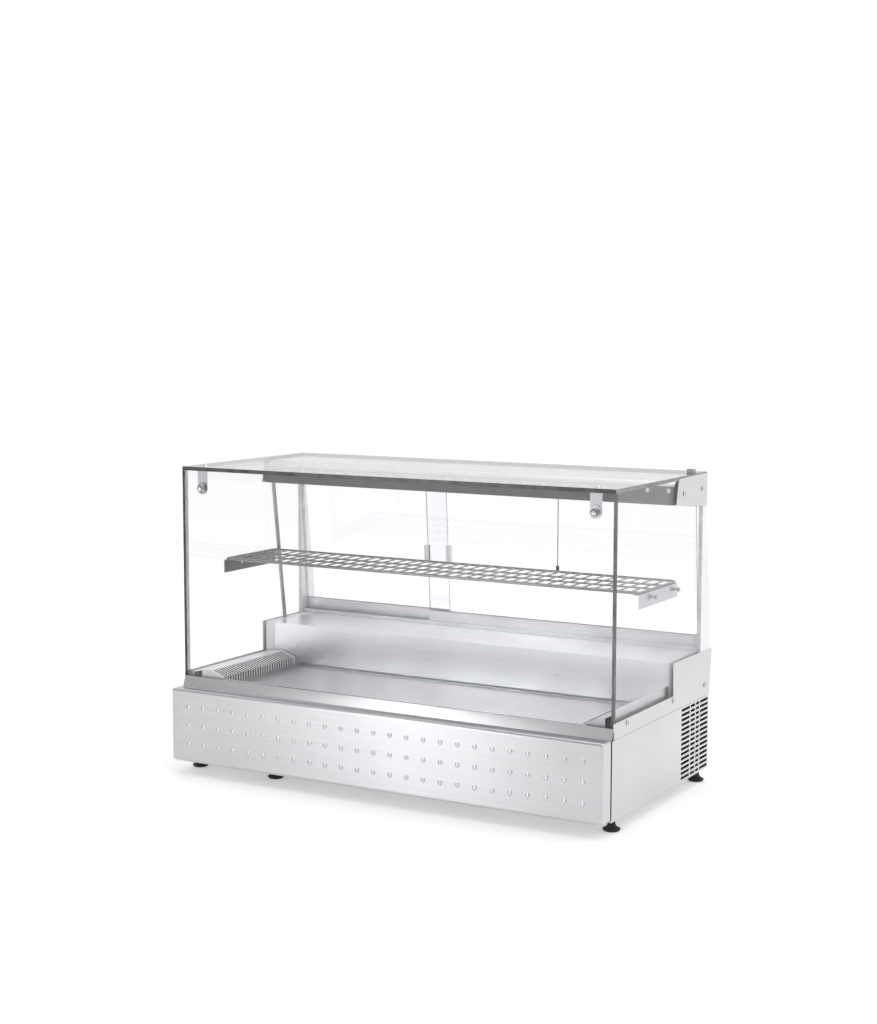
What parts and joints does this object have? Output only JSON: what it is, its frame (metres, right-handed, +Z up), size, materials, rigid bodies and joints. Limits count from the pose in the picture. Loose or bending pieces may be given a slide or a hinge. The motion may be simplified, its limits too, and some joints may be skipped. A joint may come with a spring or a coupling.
{
  "type": "refrigerated display case",
  "caption": "Countertop refrigerated display case: glass chamber with a wire shelf on a low steel base with a dimpled front, rear canopy and two sliding rear doors.",
  "frame": {"origin": "floor level under the feet, in the middle of the case's outer box", "axes": "+Z up, +X to the right seen from the customer's side, +Y to the back (server's side)"},
  "size_m": [1.005, 0.5373, 0.656],
  "materials": {
    "brushed_steel": "brushed stainless sheet, fine grain along X",
    "polished_steel": "bright polished stainless sheet with soft ripples",
    "shelf_wire": "bright electropolished wire",
    "clear_glass": "clear float glass with polished grey-green edges",
    "white_enamel": "white powder coat, satin",
    "grey_plastic": "grey moulded plastic, satin",
    "white_plastic": "off-white plastic",
    "diffuser": "translucent white lamp cover",
    "foam": "expanded insulation foam",
    "aluminium": "plain extruded aluminium, satin",
    "coil_fins": "thin plain aluminium fins",
    "copper": "drawn copper tube, slightly dulled",
    "black_plastic": "black moulded plastic",
    "black_rubber": "black rubber, matt",
    "black_enamel": "black stove enamel",
    "zinc_sheet": "zinc-coated sheet, dull",
    "bright_screws": "bright plated screws and nuts"
  },
  "bodies": {
    "case": {"base_pan": "zinc_sheet", "base_sides": "brushed_steel", "rear_panel": "brushed_steel", "front_fascia": "brushed_steel", "front_sill": "brushed_steel", "side_cheek_left": "brushed_steel", "side_cheek_right": "brushed_steel", "well_liner": "brushed_steel", "insulation": "foam", "rear_baffle": "polished_steel", "wire_cover": "white_plastic", "step_top": "polished_steel", "tray_rails": "brushed_steel", "front_glass": "clear_glass", "side_glass_left": "clear_glass", "side_glass_right": "clear_glass", "top_glass": "clear_glass", "glass_clips": "brushed_steel", "clip_screws": "bright_screws", "shelf_brackets": "brushed_steel", "canopy": "brushed_steel", "canopy_plates": "brushed_steel", "panel_screws": "bright_screws", "wiring_tube": "aluminium", "lamp_strip": "white_plastic", "lamp_diffuser": "diffuser", "rear_posts": "aluminium", "door_tracks": "aluminium", "top_buffer": "grey_plastic", "probe_lead": "black_plastic", "probe_bulb": "black_plastic", "evaporator_coil": "coil_fins", "evaporator_fan_frame": "black_plastic", "condenser_coil": "coil_fins", "condenser_fan_frame": "black_plastic", "compressor": "black_enamel", "refrigerant_lines": "copper", "thermostat": "white_plastic", "power_switch": "black_plastic", "cord_gland": "black_plastic"},
    "left_door": {"left_door_pane": "clear_glass", "left_door_rail": "aluminium", "left_door_pull": "grey_plastic"},
    "right_door": {"right_door_pane": "clear_glass", "right_door_rail": "aluminium", "right_door_pull": "grey_plastic"},
    "shelf": {"wire_shelf": "shelf_wire"},
    "tray": {"display_tray": "brushed_steel"},
    "grille": {"louvred_grille": "white_enamel"},
    "air_duct": {"duct_cover": "brushed_steel"},
    "evaporator_fan": {"evaporator_fan_rotor": "black_plastic"},
    "condenser_fan": {"condenser_fan_rotor": "black_plastic"},
    "knob": {"thermostat_knob": "black_plastic"},
    "rocker": {"switch_rocker": "black_plastic"},
    "foot_front_left_body": {"foot_front_left": "black_rubber"},
    "foot_front_middle_body": {"foot_front_middle": "black_rubber"},
    "foot_front_right_body": {"foot_front_right": "black_rubber"},
    "foot_rear_left_body": {"foot_rear_left": "black_rubber"},
    "foot_rear_middle_body": {"foot_rear_middle": "black_rubber"},
    "foot_rear_right_body": {"foot_rear_right": "black_rubber"}
  },
  "joints": [
    {"name": "right_door_slide", "type": "slide", "parent": "case", "child": "right_door", "axis": [-1, 0, 0], "range_m": [0, 0.329]},
    {"name": "left_door_slide", "type": "slide", "parent": "case", "child": "left_door", "axis": [1, 0, 0], "range_m": [0, 0.584]},
    {"name": "shelf_lift", "type": "slide", "parent": "case", "child": "shelf", "axis": [0, 0, 1], "range_m": [0, 0.015]},
    {"name": "tray_lift", "type": "slide", "parent": "case", "child": "tray", "axis": [0, 0, 1], "range_m": [0, 0.12]},
    {"name": "grille_lift", "type": "slide", "parent": "case", "child": "grille", "axis": [0, 0, 1], "range_m": [0, 0.08]},
    {"name": "air_duct_lift", "type": "slide", "parent": "case", "child": "air_duct", "axis": [0, 0, 1], "range_m": [0, 0.08]},
    {"name": "evaporator_fan_spin", "type": "hinge", "parent": "case", "child": "evaporator_fan", "pos_m": [0.0865, -0.0724, 0.1255], "axis": [1, 0, 0], "continuous": true},
    {"name": "condenser_fan_spin", "type": "hinge", "parent": "case", "child": "condenser_fan", "pos_m": [0.4255, 0.1726, 0.0878], "axis": [1, 0, 0], "continuous": true},
    {"name": "thermostat_turn", "type": "hinge", "parent": "case", "child": "knob", "pos_m": [-0.3, 0.2546, 0.154], "axis": [0, 1, 0], "range_deg": [0, 300]},
    {"name": "switch_rock", "type": "hinge", "parent": "case", "child": "rocker", "pos_m": [-0.22, 0.2556, 0.154], "axis": [1, 0, 0], "range_deg": [-14, 0]},
    {"name": "foot_front_left_turn", "type": "hinge", "parent": "case", "child": "foot_front_left_body", "pos_m": [-0.483, -0.1904, 0], "axis": [0, 0, 1], "continuous": true},
    {"name": "foot_front_middle_turn", "type": "hinge", "parent": "case", "child": "foot_front_middle_body", "pos_m": [-0.286, -0.1904, 0], "axis": [0, 0, 1], "continuous": true},
    {"name": "foot_front_right_turn", "type": "hinge", "parent": "case", "child": "foot_front_right_body", "pos_m": [0.483, -0.1904, 0], "axis": [0, 0, 1], "continuous": true},
    {"name": "foot_rear_left_turn", "type": "hinge", "parent": "case", "child": "foot_rear_left_body", "pos_m": [-0.483, 0.2316, 0], "axis": [0, 0, 1], "continuous": true},
    {"name": "foot_rear_middle_turn", "type": "hinge", "parent": "case", "child": "foot_rear_middle_body", "pos_m": [-0.286, 0.2316, 0], "axis": [0, 0, 1], "continuous": true},
    {"name": "foot_rear_right_turn", "type": "hinge", "parent": "case", "child": "foot_rear_right_body", "pos_m": [0.483, 0.2316, 0], "axis": [0, 0, 1], "continuous": true}
  ]
}
